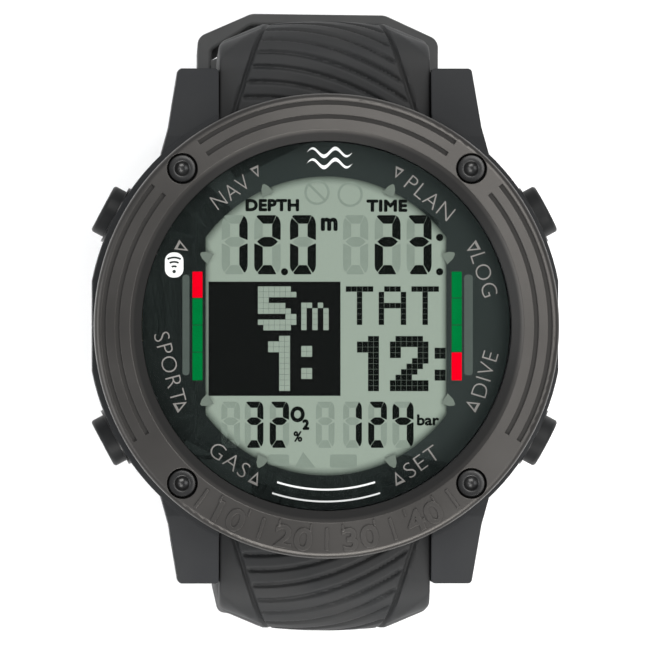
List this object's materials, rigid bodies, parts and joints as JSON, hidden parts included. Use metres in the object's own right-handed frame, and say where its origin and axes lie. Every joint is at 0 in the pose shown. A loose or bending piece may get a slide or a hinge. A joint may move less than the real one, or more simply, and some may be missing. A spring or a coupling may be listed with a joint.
{
  "type": "dive computer",
  "caption": "Wrist dive computer: round case with horns and radial push buttons, screwed bezel over a thick glass, segment display, two-piece elastomer strap with pin buckle.",
  "frame": {"origin": "middle of the flat case back, on the battery cap's bar", "axes": "+Z out of the dial, +Y towards 12 o'clock, +X towards 3 o'clock; the strap loop hangs below"},
  "size_m": [0.053, 0.0707, 0.0773],
  "materials": {
    "case_polymer": "satin moulded",
    "bezel_coating": "satin coating",
    "black_steel": "glossy black",
    "window_glass": "polished",
    "seal_rubber": "moulded",
    "mask_print": "printed",
    "display_glass": "satin polariser",
    "diffuser": "milky",
    "carrier_plastic": "moulded",
    "zebra_rubber": "striped",
    "board_laminate": "solder mask",
    "chip_plastic": "moulded",
    "sensor_brass": "plated",
    "bright_steel": "brushed",
    "cap_polymer": "moulded",
    "button_polymer": "satin moulded",
    "strap_elastomer": "soft matt",
    "keeper_elastomer": "soft matt"
  },
  "bodies": {
    "case": {"case_body": "case_polymer", "front_bezel": "bezel_coating", "bezel_screws": "black_steel", "lens": "window_glass", "lens_gasket": "seal_rubber", "display_mask": "mask_print", "lcd_panel": "display_glass", "backlight_plate": "diffuser", "display_frame": "carrier_plastic", "lcd_connectors": "zebra_rubber", "circuit_board": "board_laminate", "board_chips": "chip_plastic", "buzzer_disc": "sensor_brass", "pressure_sensor": "bright_steel", "sensor_seal": "seal_rubber", "sensor_cover": "cap_polymer", "water_contacts": "bright_steel", "contact_seals": "seal_rubber", "button_bushes": "bright_steel", "key_switches": "chip_plastic", "battery": "bright_steel", "battery_contacts": "sensor_brass", "lug_pin_upper": "bright_steel", "lug_pin_lower": "bright_steel", "lug_screws": "black_steel", "button_spring_right_upper": "bright_steel", "button_spring_left_upper": "bright_steel", "button_spring_left_lower": "bright_steel", "button_spring_right_lower": "bright_steel"},
    "push_right_upper": {"button_right_upper": "button_polymer", "button_seal_right_upper": "seal_rubber", "button_clip_right_upper": "bright_steel"},
    "push_left_upper": {"button_left_upper": "button_polymer", "button_seal_left_upper": "seal_rubber", "button_clip_left_upper": "bright_steel"},
    "push_left_lower": {"button_left_lower": "button_polymer", "button_seal_left_lower": "seal_rubber", "button_clip_left_lower": "bright_steel"},
    "push_right_lower": {"button_right_lower": "button_polymer", "button_seal_right_lower": "seal_rubber", "button_clip_right_lower": "bright_steel"},
    "battery_door": {"battery_cap": "cap_polymer", "battery_cap_seal": "seal_rubber"},
    "upper_strap": {"strap_upper": "strap_elastomer", "buckle_pin": "bright_steel", "keeper_fixed": "keeper_elastomer"},
    "loop": {"keeper_free": "keeper_elastomer"},
    "buckle": {"buckle_frame": "black_steel"},
    "tongue": {"buckle_tongue": "black_steel"},
    "lower_strap": {"strap_lower": "strap_elastomer"}
  },
  "joints": [
    {"name": "press_right_upper", "type": "slide", "parent": "case", "child": "push_right_upper", "axis": [-0.8829, -0.4695, 0], "range_m": [0, 0.0009], "stiffness_N_per_m": 1200, "springref_m": -0.0008, "deforming": ["button_spring_right_upper"]},
    {"name": "press_left_upper", "type": "slide", "parent": "case", "child": "push_left_upper", "axis": [0.8829, -0.4695, 0], "range_m": [0, 0.0009], "stiffness_N_per_m": 1200, "springref_m": -0.0008, "deforming": ["button_spring_left_upper"]},
    {"name": "press_left_lower", "type": "slide", "parent": "case", "child": "push_left_lower", "axis": [0.8829, 0.4695, 0], "range_m": [0, 0.0009], "stiffness_N_per_m": 1200, "springref_m": -0.0008, "deforming": ["button_spring_left_lower"]},
    {"name": "press_right_lower", "type": "slide", "parent": "case", "child": "push_right_lower", "axis": [-0.8829, 0.4695, 0], "range_m": [0, 0.0009], "stiffness_N_per_m": 1200, "springref_m": -0.0008, "deforming": ["button_spring_right_lower"]},
    {"name": "battery_door_turn", "type": "hinge", "parent": "case", "child": "battery_door", "pos_m": [0, 0, 0.002], "axis": [0, 0, -1], "range_deg": [0, 60]},
    {"name": "upper_strap_swing", "type": "hinge", "parent": "case", "child": "upper_strap", "pos_m": [0, 0.0252, 0.0036], "axis": [1, 0, 0], "range_deg": [-20, 22]},
    {"name": "lower_strap_swing", "type": "hinge", "parent": "case", "child": "lower_strap", "pos_m": [0, -0.0252, 0.0036], "axis": [-1, 0, 0], "range_deg": [0, 22]},
    {"name": "loop_slide", "type": "slide", "parent": "upper_strap", "child": "loop", "axis": [0, -0.2079, -0.9781], "range_m": [-0.0085, 0.0085]},
    {"name": "buckle_swing", "type": "hinge", "parent": "upper_strap", "child": "buckle", "pos_m": [0, 0.02369, -0.03931], "axis": [1, 0, 0], "range_deg": [-40, 30]},
    {"name": "tongue_swing", "type": "hinge", "parent": "buckle", "child": "tongue", "pos_m": [0, 0.02369, -0.03931], "axis": [1, 0, 0], "range_deg": [0, 60]}
  ]
}
